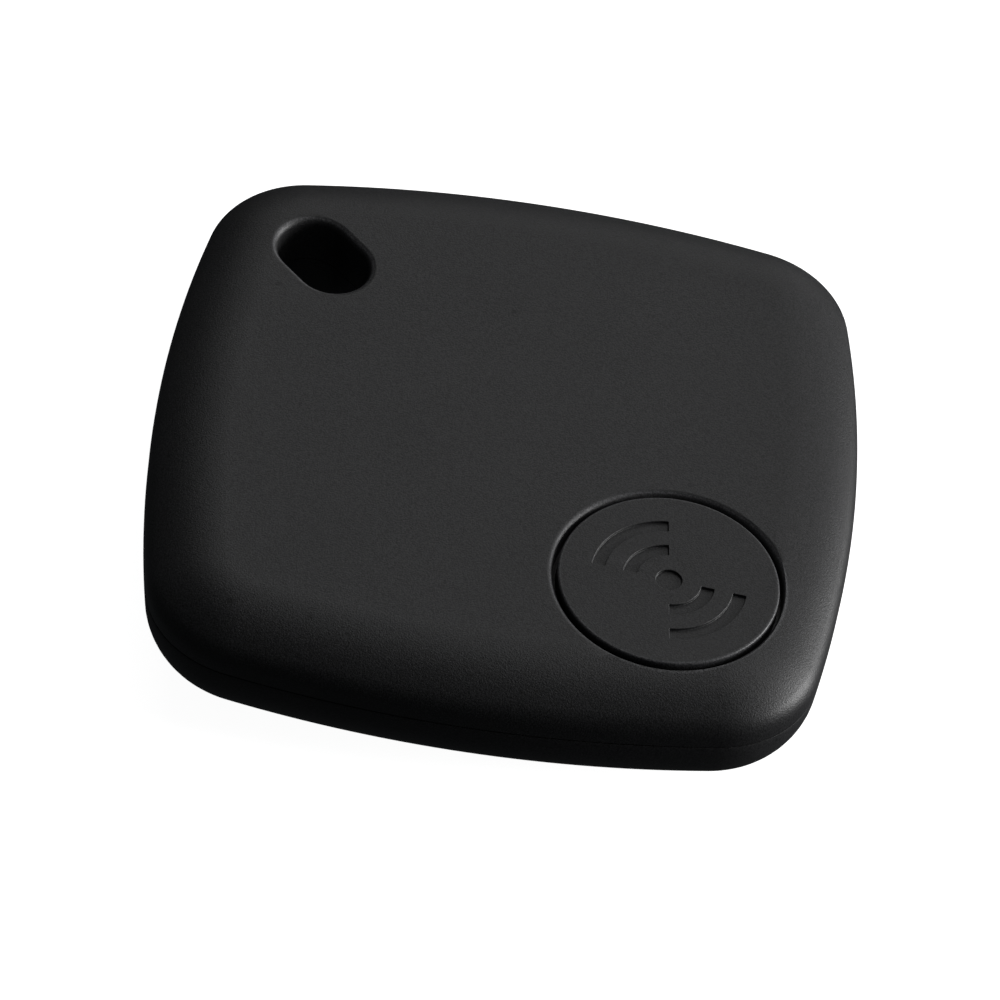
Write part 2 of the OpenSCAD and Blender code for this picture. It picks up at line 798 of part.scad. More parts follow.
module switch_dome() {
    color([0.85, 0.85, 0.87]) at_button() translate([0, 0, dome_z]) rotate_extrude() intersection() {
        translate([0, dome_rise - dome_sphere_r]) difference() {
            circle(dome_sphere_r + dome_t);
            circle(dome_sphere_r);
        }
        square([dome_r, 2 * dome_rise]);
    }
}

module switch_terminals() {
    reach = 0.8;
    color([0.85, 0.83, 0.75]) at_button() translate([0, 0, board_top]) for (s = [1, -1], y = [-1.5, 1.5]) {
        translate([s * (switch_w + reach) / 2, y, 0]) block([reach, 0.6, terminal_t]);
        translate([s * (switch_w + terminal_t) / 2, y, 0]) block([terminal_t, 0.6, 1]);
    }
}

rear_cover();
front_shell();
button_cap();
button_retainer();
circuit_board();
antenna_trace();
board_pads();
radio_chip();
main_crystal();
clock_crystal();
capacitors();
resistors();
boost_coil();
driver_transistor();
negative_contact();
battery_clip();
cell_can();
cell_seal();
cell_cap();
cell_cathode();
cell_separator();
cell_lithium();
sounder_tape();
sounder_plate();
sounder_ceramic();
sounder_electrode();
red_wire();
black_wire();
wire_joints();
switch_housing();
switch_terminals();
switch_dome();
switch_plunger();
switch_cover();
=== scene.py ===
import logging
import math
from dataclasses import dataclass, field
from enum import Enum
from typing import Callable, Iterable, Sequence

import bmesh
import bpy
from mathutils import Matrix, Vector


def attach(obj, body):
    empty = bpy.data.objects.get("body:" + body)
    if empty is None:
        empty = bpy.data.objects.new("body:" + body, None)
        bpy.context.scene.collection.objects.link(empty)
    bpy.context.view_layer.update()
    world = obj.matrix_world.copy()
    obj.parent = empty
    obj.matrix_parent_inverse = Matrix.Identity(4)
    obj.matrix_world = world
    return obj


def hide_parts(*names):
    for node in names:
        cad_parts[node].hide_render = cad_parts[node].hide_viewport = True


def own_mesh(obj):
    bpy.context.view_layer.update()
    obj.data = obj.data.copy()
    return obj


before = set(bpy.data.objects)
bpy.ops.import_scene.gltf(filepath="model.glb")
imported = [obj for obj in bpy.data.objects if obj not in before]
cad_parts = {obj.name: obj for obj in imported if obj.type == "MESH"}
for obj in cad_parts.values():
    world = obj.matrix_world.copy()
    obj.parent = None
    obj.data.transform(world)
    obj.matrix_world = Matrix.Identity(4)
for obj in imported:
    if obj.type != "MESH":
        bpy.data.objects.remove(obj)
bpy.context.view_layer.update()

log = logging.getLogger("key_finder_tag")

MM = 0.001
# How far, in millimetres, a solid reaches into the one that it is added to
LAP = 0.2
Point = Sequence[float]
Socket = bpy.types.NodeSocket


# ---------------------------------------------------------------- modelling tools


class Join(Enum):
    """How one solid is joined with another."""

    ADD = "UNION"
    CUT = "DIFFERENCE"


class Bench:
    """The modelling operations that every sub-assembly shares. Lengths are in millimetres until `deliver`."""

    @staticmethod
    def clear_selection() -> None:
        """Leaves nothing selected and no object in edit mode."""
        if bpy.context.object and bpy.context.object.mode != "OBJECT":
            bpy.ops.object.mode_set(mode="OBJECT")
        bpy.ops.object.select_all(action="DESELECT")

    @staticmethod
    def activate(obj: bpy.types.Object) -> None:
        """Makes one object the only selected one and the active one.

        Args:
            obj: The object to work on.
        """
        Bench.clear_selection()
        obj.select_set(True)
        bpy.context.view_layer.objects.active = obj

    @staticmethod
    def pick_edges(obj: bpy.types.Object, test: Callable[[bmesh.types.BMEdge], bool]) -> int:
        """Selects, in edit mode, exactly the edges that pass a test.

        Args:
            obj: The object being edited.
            test: Says whether an edge is wanted.

        Returns:
            How many edges were selected.
        """
        bpy.ops.mesh.select_mode(type="EDGE")
        bpy.ops.mesh.select_all(action="DESELECT")
        mesh = bmesh.from_edit_mesh(obj.data)
        wanted = [edge for edge in mesh.edges if test(edge)]
        for edge in wanted:
            edge.select_set(True)
        bmesh.update_edit_mesh(obj.data)
        return len(wanted)

    @staticmethod
    def cylinder(
        radius: float, low: float, high: float, at: Point = (0.0, 0.0), sides: int = 96
    ) -> bpy.types.Object:
        """Adds an upright cylinder.

        Args:
            radius: Its radius.
            low: Height of its lower face.
            high: Height of its upper face.
            at: X and Y of its axis.
            sides: How many flat sides stand for its round wall.

        Returns:
            The new object.
        """
        Bench.clear_selection()
        bpy.ops.mesh.primitive_cylinder_add(
            vertices=sides, radius=radius, depth=high - low, location=(at[0], at[1], (low + high) / 2)
        )
        return Bench.settle(bpy.context.object)

    @staticmethod
    def settle(obj: bpy.types.Object) -> bpy.types.Object:
        """Moves an object's place, turn and scale into its mesh.

        Args:
            obj: The object to settle.

        Returns:
            The same object.
        """
        Bench.activate(obj)
        bpy.ops.object.transform_apply(location=True, rotation=True, scale=True)
        return obj

    @staticmethod
    def spun_outline(start: Point, turns: Iterable[tuple[Point, float, int]], z: float) -> bpy.types.Object:
        """Adds a flat face whose outline is a chain of arcs that closes on itself.

        Args:
            start: X and Y where the first arc starts.
            turns: For each arc its centre, its angle in radians and its number of steps. An arc of angle 0
                is a straight run, and its centre is then the point that it runs to.
            z: Height of the face.

        Returns:
            The new object, with its face up.
        """
        Bench.clear_selection()
        bpy.ops.mesh.primitive_plane_add(size=1.0, location=(0.0, 0.0, 0.0))
        obj = bpy.context.object
        bpy.ops.object.mode_set(mode="EDIT")
        bpy.ops.mesh.select_mode(type="VERT")
        bpy.ops.mesh.select_all(action="SELECT")
        bpy.ops.mesh.merge(type="CENTER")
        bpy.ops.transform.translate(value=(start[0], start[1], z))
        place = Vector((start[0], start[1], z))
        for centre, angle, steps in turns:
            pivot = Vector((centre[0], centre[1], z))
            if angle == 0.0:
                bpy.ops.mesh.extrude_region_move(TRANSFORM_OT_translate={"value": pivot - place})
                place = pivot
                continue
            bpy.ops.mesh.spin(steps=steps, angle=-angle, center=pivot, axis=(0.0, 0.0, 1.0))
            place = pivot + Matrix.Rotation(angle, 3, "Z") @ (place - pivot)
        bpy.ops.mesh.select_all(action="SELECT")
        bpy.ops.mesh.remove_doubles(threshold=0.001)
        bpy.ops.mesh.edge_face_add()
        bpy.ops.mesh.select_mode(type="FACE")
        bpy.ops.mesh.select_all(action="SELECT")
        Bench.face_up(obj)
        bpy.ops.object.mode_set(mode="OBJECT")
        return obj

    @staticmethod
    def face_up(obj: bpy.types.Object) -> None:
        """Turns a lone face so that it points up.

        Args:
            obj: An object in edit mode that holds one flat face.
        """
        mesh = bmesh.from_edit_mesh(obj.data)
        mesh.normal_update()
        if any(face.normal.z < 0 for face in mesh.faces):
            bpy.ops.mesh.flip_normals()

    @staticmethod
    def loft(obj: bpy.types.Object, profile: Sequence[tuple[float, float]]) -> bpy.types.Object:
        """Raises a flat face into a solid whose outline draws in as it rises.

        Args:
            obj: An object that holds one flat face, pointing up.
            profile: From the face on, the distance in from the outline and the height above the face at
                each step.

        Returns:
            The same object, now a closed solid.
        """
        Bench.activate(obj)
        bpy.ops.object.mode_set(mode="EDIT")
        bpy.ops.mesh.select_mode(type="FACE")
        bpy.ops.mesh.select_all(action="SELECT")
        inset, height = 0.0, 0.0
        for step_inset, step_height in profile:
            draw, rise = step_inset - inset, step_height - height
            if abs(draw) < 1e-6:
                bpy.ops.mesh.extrude_region_move(TRANSFORM_OT_translate={"value": (0.0, 0.0, rise)})
            else:
                bpy.ops.mesh.inset(thickness=draw, depth=rise, use_even_offset=True, use_boundary=True)
            inset, height = step_inset, step_height
        bpy.ops.mesh.select_all(action="SELECT")
        bpy.ops.mesh.normals_make_consistent(inside=False)
        bpy.ops.object.mode_set(mode="OBJECT")
        return obj

    @staticmethod
    def upside_down(obj: bpy.types.Object, about: float) -> bpy.types.Object:
        """Mirrors a solid top to bottom.

        Args:
            obj: The solid.
            about: The height that stays where it is.

        Returns:
            The same object, with its faces outwards.
        """
        Bench.activate(obj)
        bpy.ops.object.mode_set(mode="EDIT")
        bpy.ops.mesh.select_all(action="SELECT")
        bpy.ops.transform.resize(value=(1.0, 1.0, -1.0), center_override=(0.0, 0.0, about))
        bpy.ops.mesh.normals_make_consistent(inside=False)
        bpy.ops.object.mode_set(mode="OBJECT")
        return obj

    @staticmethod
    def join(obj: bpy.types.Object, other: bpy.types.Object, how: Join) -> bpy.types.Object:
        """Adds another solid to a solid, or cuts it away, and removes the other.

        Args:
            obj: The solid that is kept.
            other: The solid that is added or cut.
            how: Which of the two.

        Returns:
            The kept object.
        """
        Bench.activate(obj)
        modifier = obj.modifiers.new(how.name, "BOOLEAN")
        modifier.operation = how.value
        modifier.solver = "EXACT"
        modifier.object = other
        bpy.ops.object.modifier_apply(modifier=modifier.name)
        bpy.data.objects.remove(other, do_unlink=True)
        return obj

    @staticmethod
    def soften(obj: bpy.types.Object, width: float, angle: float, segments: int = 3) -> None:
        """Rounds every edge that is sharper than an angle.

        Args:
            obj: The solid.
            width: Width of the rounding.
            angle: In degrees, the least angle that counts as an edge.
            segments: How many steps the rounding has.
        """
        Bench.activate(obj)
        modifier = obj.modifiers.new("soften", "BEVEL")
        modifier.width = width
        modifier.segments = segments
        modifier.limit_method = "ANGLE"
        modifier.angle_limit = math.radians(angle)
        modifier.use_clamp_overlap = True
        modifier.miter_outer = "MITER_ARC"
        bpy.ops.object.modifier_apply(modifier=modifier.name)

    @staticmethod
    def deliver(obj: bpy.types.Object, name: str, smooth: float = 32.0) -> bpy.types.Object:
        """Names a finished solid, brings it to metres and shades its curved faces smooth.

        Args:
            obj: The solid, in millimetres.
            name: Its name.
            smooth: In degrees, edges under this angle are shaded as curved.

        Returns:
            The same object, at the origin and unscaled.
        """
        obj.name = name
        obj.data.name = name
        obj.scale = (MM, MM, MM)
        Bench.settle(obj)
        bpy.ops.object.mode_set(mode="EDIT")
        bpy.ops.mesh.select_all(action="SELECT")
        bpy.ops.mesh.remove_doubles(threshold=2e-6)
        bpy.ops.mesh.dissolve_degenerate(threshold=1e-6)
        bpy.ops.object.mode_set(mode="OBJECT")
        bpy.ops.object.shade_smooth_by_angle(angle=math.radians(smooth))
        modifier = obj.modifiers.new("weights", "WEIGHTED_NORMAL")
        modifier.keep_sharp = True
        bpy.ops.object.modifier_apply(modifier=modifier.name)
        return obj


# ---------------------------------------------------------------- finishes


def per_mm(size: float) -> float:
    """The texture scale that gives features of a size in millimetres on Object coordinates."""
    return 1.0 / (size * MM)


class Graph:
    """Adds nodes to one material and links them."""

    def __init__(self, name: str) -> None:
        """Starts an empty material with a surface shader.

        Args:
            name: The material's name.
        """
        self.material = bpy.data.materials.new(name)
        self.material.use_nodes = True
        self.tree = self.material.node_tree
        self.shader = self.tree.nodes["Principled BSDF"]
        self.place = self.tree.nodes.new("ShaderNodeTexCoord").outputs["Object"]

    def link(self, output: Socket, target: Socket) -> None:
        """Links an output to an input."""
        self.tree.links.new(output, target)

    def noise(
        self, size: float, detail: float = 3.0, rough: float = 0.55, stretch: Point = (1, 1, 1)
    ) -> Socket:
        """A noise pattern.

        Args:
            size: Its feature size in millimetres.
            detail: How many finer layers it has.
            rough: How strong the finer layers are.
            stretch: How much denser the pattern is along each axis.

        Returns:
            Its value, from 0 to 1.
        """
        mapping = self.tree.nodes.new("ShaderNodeMapping")
        mapping.inputs["Scale"].default_value = stretch
        self.link(self.place, mapping.inputs["Vector"])
        node = self.tree.nodes.new("ShaderNodeTexNoise")
        node.inputs["Scale"].default_value = per_mm(size)
        node.inputs["Detail"].default_value = detail
        node.inputs["Roughness"].default_value = rough
        self.link(mapping.outputs["Vector"], node.inputs["Vector"])
        return node.outputs["Fac"]

    def cells(self, size: float) -> Socket:
        """A pattern of cells.

        Args:
            size: Their size in millimetres.

        Returns:
            The distance from the middle of the nearest cell.
        """
        node = self.tree.nodes.new("ShaderNodeTexVoronoi")
        node.inputs["Scale"].default_value = per_mm(size)
        self.link(self.place, node.inputs["Vector"])
        return node.outputs["Distance"]

    def ramp(self, value: Socket, low: float, high: float, first: Point, last: Point) -> Socket:
        """Colours that a value picks between.

        Args:
            value: The value.
            low: The value that gives the first colour.
            high: The value that gives the last colour.
            first: The first colour.
            last: The last colour.

        Returns:
            The colour.
        """
        node = self.tree.nodes.new("ShaderNodeValToRGB")
        node.color_ramp.elements[0].position = low
        node.color_ramp.elements[0].color = (*first, 1.0)
        node.color_ramp.elements[1].position = high
        node.color_ramp.elements[1].color = (*last, 1.0)
        self.link(value, node.inputs["Fac"])
        return node.outputs["Color"]

    def span(self, value: Socket, low: float, high: float, first: float, last: float) -> Socket:
        """Maps a range of a value onto another range, and holds it there beyond.

        Args:
            value: The value.
            low: The value that gives the first result.
            high: The value that gives the last result.
            first: The first result.
            last: The last result.

        Returns:
            The result.
        """
        node = self.tree.nodes.new("ShaderNodeMapRange")
        node.inputs["From Min"].default_value = low
        node.inputs["From Max"].default_value = high
        node.inputs["To Min"].default_value = first
        node.inputs["To Max"].default_value = last
        self.link(value, node.inputs["Value"])
        return node.outputs["Result"]

    def blend(self, factor: Socket, first: Socket, last: Socket) -> Socket:
        """Mixes two colours.

        Args:
            factor: How much of the last colour shows, from 0 to 1.
            first: The first colour.
            last: The last colour.

        Returns:
            The mixed colour.
        """
        node = self.tree.nodes.new("ShaderNodeMix")
        node.data_type = "RGBA"
        self.link(factor, node.inputs[0])
        self.link(first, node.inputs[6])
        self.link(last, node.inputs[7])
        return node.outputs[2]

    def math(self, operation: str, first: Socket, last: float | Socket) -> Socket:
        """Works out one step of a sum.

        Args:
            operation: What is done, in Blender's name for it.
            first: The value it is done to.
            last: The number or value it is done with.

        Returns:
            The result.
        """
        node = self.tree.nodes.new("ShaderNodeMath")
        node.operation = operation
        self.link(first, node.inputs[0])
        if isinstance(last, (int, float)):
            node.inputs[1].default_value = last
        else:
            self.link(last, node.inputs[1])
        return node.outputs[0]

    def rim(self, highlit_edge: "HighlightRim") -> Socket:
        """Marks the edge of a round or long opening, where the colour is lightened into a painted highlight.

        Args:
            highlit_edge: The edge.

        Returns:
            A value that is 1 on the edge and 0 away from it.
        """
        mapping = self.tree.nodes.new("ShaderNodeMapping")
        mapping.vector_type = "TEXTURE"
        mapping.inputs["Location"].default_value = (highlit_edge.x * MM, highlit_edge.y * MM, 0.0)
        mapping.inputs["Rotation"].default_value = (0.0, 0.0, math.radians(highlit_edge.turn))
        self.link(self.place, mapping.inputs["Vector"])
        parts = self.tree.nodes.new("ShaderNodeSeparateXYZ")
        self.link(mapping.outputs["Vector"], parts.inputs[0])
        along = self.math("SUBTRACT", self.math("ABSOLUTE", parts.outputs["X"], 0.0), highlit_edge.run / 2 * MM)
        along = self.math("MAXIMUM", along, 0.0)
        across = self.math("POWER", self.math("ABSOLUTE", parts.outputs["Y"], 0.0), 2.0)
        away = self.math("SQRT", self.math("ADD", self.math("POWER", along, 2.0), across), 0.0)
        off = self.math("ABSOLUTE", self.math("SUBTRACT", away, highlit_edge.radius * MM), 0.0)
        near = self.span(off, 0.0, highlit_edge.width * MM, 1.0, 0.0)
        high = self.span(parts.outputs["Z"], (highlit_edge.level - 0.5) * MM, (highlit_edge.level - 0.1) * MM, 0.0, 1.0)
        return self.math("MULTIPLY", near, high)

    def bump(self, height: Socket, depth: float, strength: float = 1.0) -> None:
        """Raises the surface by a pattern.

        Args:
            height: The pattern, from 0 to 1.
            depth: In millimetres, the height of its highest point.
            strength: How much of it shows.
        """
        node = self.tree.nodes.new("ShaderNodeBump")
        node.inputs["Strength"].default_value = strength
        node.inputs["Distance"].default_value = depth * MM
        self.link(height, node.inputs["Height"])
        normal = self.shader.inputs["Normal"]
        if normal.is_linked:
            self.link(normal.links[0].from_socket, node.inputs["Normal"])
        self.link(node.outputs["Normal"], normal)


@dataclass(frozen=True)
class HighlightRim:
    """An edge whose colour is lightened into a painted highlight. Sizes are in millimetres.

    It is round, or long with round ends: run is the straight part, turned by an angle in degrees.
    """

    x: float
    y: float
    radius: float
    width: float = 0.16
    run: float = 0.0
    turn: float = 0.0
    level: float = 7.5


@dataclass(frozen=True)
class MouldedPlastic:
    """Hard plastic with a fine moulded grain, and painted highlights along given edges. Sizes are in
    millimetres.
    """

    name: str
    colour: tuple[float, float, float]
    roughness: float = 0.5
    specular: float = 0.5
    grain: float = 0.12
    grain_depth: float = 0.004
    mottle: float = 0.12
    specks: bool = False
    highlight_rims: tuple[HighlightRim, ...] = ()

    def shade(self, share: float) -> list[float]:
        """The plastic's colour, made darker or lighter by a share."""
        return [c * share for c in self.colour]

    def material(self) -> bpy.types.Material:
        """Builds the material.

        Returns:
            The new material.
        """
        graph = Graph(self.name)
        grain = graph.noise(self.grain, detail=2.0, rough=0.6)
        colour = graph.ramp(grain, 0.32, 0.68, self.shade(1.0 - self.mottle), self.shade(1.0 + self.mottle))
        if self.specks:
            pits = graph.span(graph.cells(5.0), 0.03, 0.045, 1.0, 0.0)
            dust = graph.span(graph.noise(9.0, detail=0.0), 0.52, 0.56, 0.0, 1.0)
            black = graph.ramp(grain, 0.0, 1.0, self.shade(0.25), self.shade(0.3))
            colour = graph.blend(graph.math("MULTIPLY", pits, dust), colour, black)
        # Painted highlight: along each given edge the colour is lightened up to six times, for the light that
        # catches it.
        for highlit_edge in self.highlight_rims:
            painted_highlight = graph.ramp(grain, 0.35, 0.65, self.shade(1.5), self.shade(6.0))
            colour = graph.blend(graph.rim(highlit_edge), colour, painted_highlight)
        graph.link(colour, graph.shader.inputs["Base Color"])
        patches = graph.noise(6.0, detail=2.0)
        graph.link(
            graph.span(patches, 0.3, 0.7, self.roughness - 0.02, self.roughness + 0.02),
            graph.shader.inputs["Roughness"],
        )
        graph.shader.inputs["Specular IOR Level"].default_value = self.specular
        graph.bump(grain, self.grain_depth)
        return graph.material


@dataclass(frozen=True)
class SheetMetal:
    """Rolled, plated or soft metal with a fine brushed or mottled surface. Sizes are in millimetres."""

    name: str
    colour: tuple[float, float, float]
    roughness: float = 0.3
    brushed: tuple[float, float, float] = (1.0, 12.0, 1.0)
    grain: float = 0.5
    grain_depth: float = 0.001
    tarnish: float = 0.1
    metallic: float = 0.72

    def material(self) -> bpy.types.Material:
        """Builds the material.

        Returns:
            The new material.
        """
        graph = Graph(self.name)
        patches = graph.noise(2.5, detail=4.0)
        dull = [c * (1.0 - self.tarnish) for c in self.colour]
        graph.link(graph.ramp(patches, 0.35, 0.7, dull, self.colour), graph.shader.inputs["Base Color"])
        scratches = graph.noise(self.grain, detail=3.0, stretch=self.brushed)
        graph.link(
            graph.span(scratches, 0.3, 0.7, self.roughness * 0.75, self.roughness * 1.3),
            graph.shader.inputs["Roughness"],
        )
        graph.shader.inputs["Metallic"].default_value = self.metallic
        graph.bump(scratches, self.grain_depth)
        return graph.material


@dataclass(frozen=True)
class BoardLaminate:
    """Solder mask over copper tracks on a glass laminate. Sizes are in millimetres."""

    name: str
    mask: tuple[float, float, float]
    track: tuple[float, float, float]
    pitch: float = 1.1

    def material(self) -> bpy.types.Material:
        """Builds the material.

        Returns:
            The new material.
        """
        graph = Graph(self.name)
        lines = graph.tree.nodes.new("ShaderNodeTexBrick")
        lines.offset = 0.5
        lines.offset_frequency = 3
        lines.squash = 1.6
        lines.squash_frequency = 2
        lines.inputs["Color1"].default_value = (0.0, 0.0, 0.0, 1.0)
        lines.inputs["Color2"].default_value = (0.25, 0.25, 0.25, 1.0)
        lines.inputs["Mortar"].default_value = (1.0, 1.0, 1.0, 1.0)
        lines.inputs["Scale"].default_value = per_mm(self.pitch)
        lines.inputs["Mortar Size"].default_value = 0.045
        lines.inputs["Mortar Smooth"].default_value = 0.1
        graph.link(graph.place, lines.inputs["Vector"])
        weave = graph.noise(0.35, detail=2.0, stretch=(1.0, 1.0, 1.0))
        shade = graph.ramp(weave, 0.2, 0.8, [c * 0.9 for c in self.mask], [c * 1.1 for c in self.mask])
        copper = graph.ramp(weave, 0.2, 0.8, self.track, [c * 1.1 for c in self.track])
        graph.link(graph.blend(lines.outputs["Color"], shade, copper), graph.shader.inputs["Base Color"])
        graph.shader.inputs["Roughness"].default_value = 0.32
        graph.shader.inputs["Coat Weight"].default_value = 0.3
        graph.bump(lines.outputs["Color"], 0.02, 0.6)
        graph.bump(weave, 0.003)
        return graph.material


@dataclass(frozen=True)
class PressedPowder:
    """Fired ceramic, pressed powder, felt or cured resin. Sizes are in millimetres."""

    name: str
    colour: tuple[float, float, float]
    roughness: float = 0.7
    grain: float = 0.15
    grain_depth: float = 0.01

    def material(self) -> bpy.types.Material:
        """Builds the material.

        Returns:
            The new material.
        """
        graph = Graph(self.name)
        grain = graph.noise(self.grain, detail=4.0, rough=0.7)
        graph.link(
            graph.ramp(grain, 0.25, 0.75, [c * 0.75 for c in self.colour], self.colour),
            graph.shader.inputs["Base Color"],
        )
        graph.link(
            graph.span(grain, 0.3, 0.7, self.roughness - 0.08, self.roughness + 0.08),
            graph.shader.inputs["Roughness"],
        )
        graph.bump(grain, self.grain_depth)
        return graph.material


# ---------------------------------------------------------------- the body's shape


def arc(centre: Point, radius: float, first: float, last: float, steps: int) -> list[tuple[float, float]]:
    """Points along an arc in a plane, without its first point.

    Args:
        centre: Its centre.
        radius: Its radius.
        first: In degrees, where it starts.
        last: In degrees, where it ends.
        steps: How many points it has.

    Returns:
        The points.
    """
    angles = [math.radians(first + (last - first) * i / steps) for i in range(1, steps + 1)]
    return [(centre[0] + radius * math.cos(a), centre[1] + radius * math.sin(a)) for a in angles]


@dataclass
class BodyForm:
    """The outside shape that both shells share. Sizes are in millimetres."""

    width: float = 38.0
    height: float = 7.5
    side_angle: float = 10.6
    corner_radius: float = 6.0
    wall: float = 1.0
    seam: float = 4.5
    seam_gap: float = 0.05
    side_round: float = 1.4
    face_round: float = 6.0
    foot_round: float = 4.1
    side_steps: int = 30
    corner_steps: int = 26
    side_radius: float = field(init=False)
    side_centre: float = field(init=False)
    corner_centre: float = field(init=False)

    def __post_init__(self) -> None:
        """Works out the arcs that join smoothly."""
        a = math.radians(self.side_angle)
        self.side_radius = (self.width / 2 - self.corner_radius * (math.cos(a) - math.sin(a))) / (
            1 - math.cos(a) + math.sin(a)
        )
        self.side_centre = self.side_radius - self.width / 2
        self.corner_centre = (self.side_radius - self.corner_radius) * math.sin(a)

    @property
    def ceiling(self) -> float:
        """Height of the inner side of the button face."""
        return self.height - self.wall

    def outline(self, inset: float, z: float) -> bpy.types.Object:
        """A flat face in the body's outline.

        Args:
            inset: How far in from the outside it runs.
            z: Its height.

        Returns:
            The new object.
        """
        a = math.radians(self.side_angle)
        reach = self.side_radius - inset
        start = (reach * math.cos(a) - self.side_centre, -reach * math.sin(a))
        turns = []
        for quarter in range(4):
            turn = Matrix.Rotation(math.radians(90 * quarter), 2)
            side = turn @ Vector((-self.side_centre, 0.0))
            corner = turn @ Vector((self.corner_centre, self.corner_centre))
            turns.append((side, 2 * a, self.side_steps))
            turns.append((corner, math.pi / 2 - 2 * a, self.corner_steps))
        return Bench.spun_outline(start, turns, z)

    def upper(self, inset: float, low: float) -> bpy.types.Object:
        """The upper part of the body, drawn in all round and under the face.

        Args:
            inset: How far in.
            low: Height of its lower face.

        Returns:
            A closed solid.
        """
        meet = math.degrees(math.atan2(0.8, 0.6))
        side = (self.side_round, 0.0)
        rise = self.side_round * 0.8 + self.face_round * 0.2
        side_z = self.height - rise
        profile = [(0.0, side_z - low)]
        across = self.side_round - inset
        for x, z in arc(side, across, 180.0, 180.0 - meet, 10):
            profile.append((x - inset, side_z + z - low))
        face_x = self.side_round * 0.4 + self.face_round * 0.6
        face_z = self.height - self.face_round
        for x, z in arc((face_x, face_z), self.face_round - inset, 180.0 - meet, 90.0, 14):
            profile.append((x - inset, z - low))
        return Bench.loft(self.outline(inset, low), profile)

    def lower(self, inset: float, high: float) -> bpy.types.Object:
        """The lower part of the body, drawn in all round and above the resting face.

        Args:
            inset: How far in.
            high: Height of its upper face.

        Returns:
            A closed solid.
        """
        profile = [(0.0, high - self.foot_round)]
        for x, z in arc((self.foot_round, 0.0), self.foot_round - inset, 180.0, 90.0, 18):
            profile.append((x - inset, high - self.foot_round + z))
        return Bench.upside_down(Bench.loft(self.outline(inset, high), profile), high)

    def ring(self, outer: float, inner: float, low: float, high: float) -> bpy.types.Object:
        """An upright wall that follows the outline.

        Args:
            outer: How far in its outside is.
            inner: How far in its inside is.
            low: Height of its lower end.
            high: Height of its upper end.

        Returns:
            A closed solid.
        """
        wall = Bench.loft(self.outline(outer, low), [(0.0, high - low)])
        core = Bench.loft(self.outline(inner, low - 1.0), [(0.0, high - low + 2.0)])
        return Bench.join(wall, core, Join.CUT)


@dataclass
class Slot:
    """The key-ring slot. Sizes are in millimetres."""

    width: float = 4.0
    length: float = 5.7
    edge_x: float = 7.6
    edge_y: float = 8.2
    wall: float = 0.9
    lip: float = 0.45
    end_steps: int = 28

    def middle(self, body: BodyForm) -> Vector:
        """X and Y of the slot's centre in a body."""
        return Vector((self.edge_x - body.width / 2, body.width / 2 - self.edge_y))

    def prism(
        self, grow: float, low: float, profile: Sequence[tuple[float, float]], body: BodyForm
    ) -> bpy.types.Object:
        """An upright solid in the slot's shape.

        Args:
            grow: How much wider it is all round.
            low: Height of its lower face.
            profile: Insets and heights above the lower face.
            body: The body that it is cut in.

        Returns:
            A closed solid.
        """
        middle = self.middle(body)
        along = Vector((1.0, -1.0)).normalized()
        across = Vector((1.0, 1.0)).normalized()
        run = (self.length - self.width) / 2
        radius = self.width / 2 + grow
        near, far = middle + along * run, middle - along * run
        start = near - across * radius
        turns = [
            (near, math.pi, self.end_steps),
            (far + across * radius, 0.0, 1),
            (far, math.pi, self.end_steps),
        ]
        return Bench.loft(Bench.spun_outline(start, turns, low), profile)


@dataclass(frozen=True)
class Flare:
    """A cut that goes down through a face and leaves a rounded rim. Sizes are in millimetres.

    Above the rim the cut goes on as a shallow cone, so that it meets the face at a clean angle.
    """

    lip: float
    slope: float = 14.0
    cone: float = 0.8
    lead: float = 0.3
    steps: int = 8

    @property
    def spare(self) -> float:
        """How much wider than the cut its wide end is, all round."""
        first = math.radians(self.slope)
        return self.cone * math.cos(first) + self.lip * (1.0 - math.sin(first))

    @property
    def top(self) -> float:
        """How far above the face the wide end is."""
        first = math.radians(self.slope)
        return self.lead + self.cone * math.sin(first) - self.lip * (1.0 - math.cos(first))

    def profile(self, depth: float) -> list[tuple[float, float]]:
        """The cut's insets and drops, from its wide end down.

        Args:
            depth: How deep the straight part of the cut goes.

        Returns:
            The steps of the profile.
        """
        first = math.radians(self.slope)
        wide, high = self.cone * math.cos(first), self.lead + self.cone * math.sin(first)
        steps = [(0.0, self.lead)]
        for i in range(self.steps + 1):
            t = first + (math.pi / 2 - first) * i / self.steps
            inset = wide + self.lip * (math.sin(t) - math.sin(first))
            steps.append((inset, high + self.lip * (math.cos(first) - math.cos(t))))
        steps.append((steps[-1][0], steps[-1][1] + depth))
        return steps


